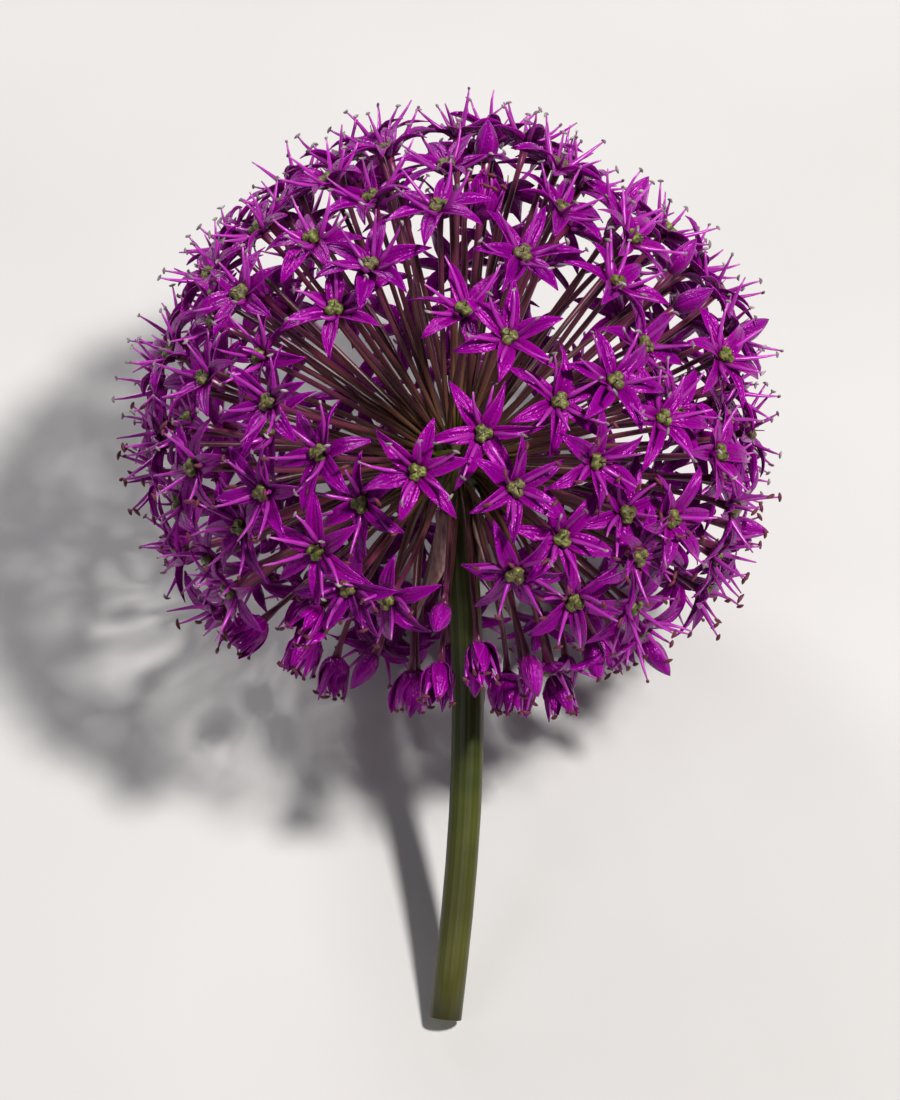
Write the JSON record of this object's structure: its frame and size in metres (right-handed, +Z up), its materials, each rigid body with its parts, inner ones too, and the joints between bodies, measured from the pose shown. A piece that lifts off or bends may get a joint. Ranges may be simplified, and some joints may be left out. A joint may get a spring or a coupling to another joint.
{
  "type": "allium flower head",
  "caption": "Round purple ornamental onion flower head on a short cut stalk, lying on its side, with starry florets on long pedicels and a few buds still closed underneath",
  "frame": {"origin": "on the floor, at the middle of the bounding box's underside", "axes": "+Y runs along the lying flower from the cut end of its stalk to its head, +Z is up, +X is to the right as seen from the cut end"},
  "size_m": [0.1126, 0.1412, 0.1095],
  "materials": {
    "tepals": "satin",
    "stamens": "satin",
    "ovaries": "satin",
    "pedicels": "satin",
    "scape": "satin",
    "spathe": "matte"
  },
  "bodies": {
    "root": {"cyme_01": "tepals", "cyme_02": "tepals", "cyme_03": "tepals", "cyme_04": "tepals", "cyme_05": "tepals", "cyme_06": "tepals", "cyme_07": "tepals", "cyme_08": "tepals", "cyme_09": "tepals", "cyme_10": "tepals", "cyme_11": "tepals", "cyme_12": "tepals", "cyme_13": "tepals", "cyme_14": "tepals", "cyme_15": "tepals", "cyme_16": "tepals", "cyme_17": "tepals", "cyme_18": "tepals", "cyme_19": "tepals", "cyme_20": "tepals", "cyme_21": "tepals", "cyme_22": "tepals", "cyme_23": "tepals", "cyme_24": "tepals", "cyme_25": "tepals", "cyme_26": "tepals", "cyme_27": "tepals", "cyme_28": "tepals", "cyme_29": "tepals", "cyme_30": "tepals", "cyme_31": "tepals", "cyme_32": "tepals", "cyme_33": "tepals", "cyme_34": "tepals", "cyme_35": "tepals", "cyme_36": "tepals", "cyme_37": "tepals", "cyme_38": "tepals", "cyme_39": "tepals", "cyme_40": "tepals", "cyme_41": "tepals", "cyme_42": "tepals", "cyme_43": "tepals", "cyme_44": "tepals", "cyme_45": "tepals", "cyme_46": "tepals", "scape": "scape", "spathe_bract_left": "spathe", "spathe_bract_right": "spathe"}
  },
  "joints": []
}
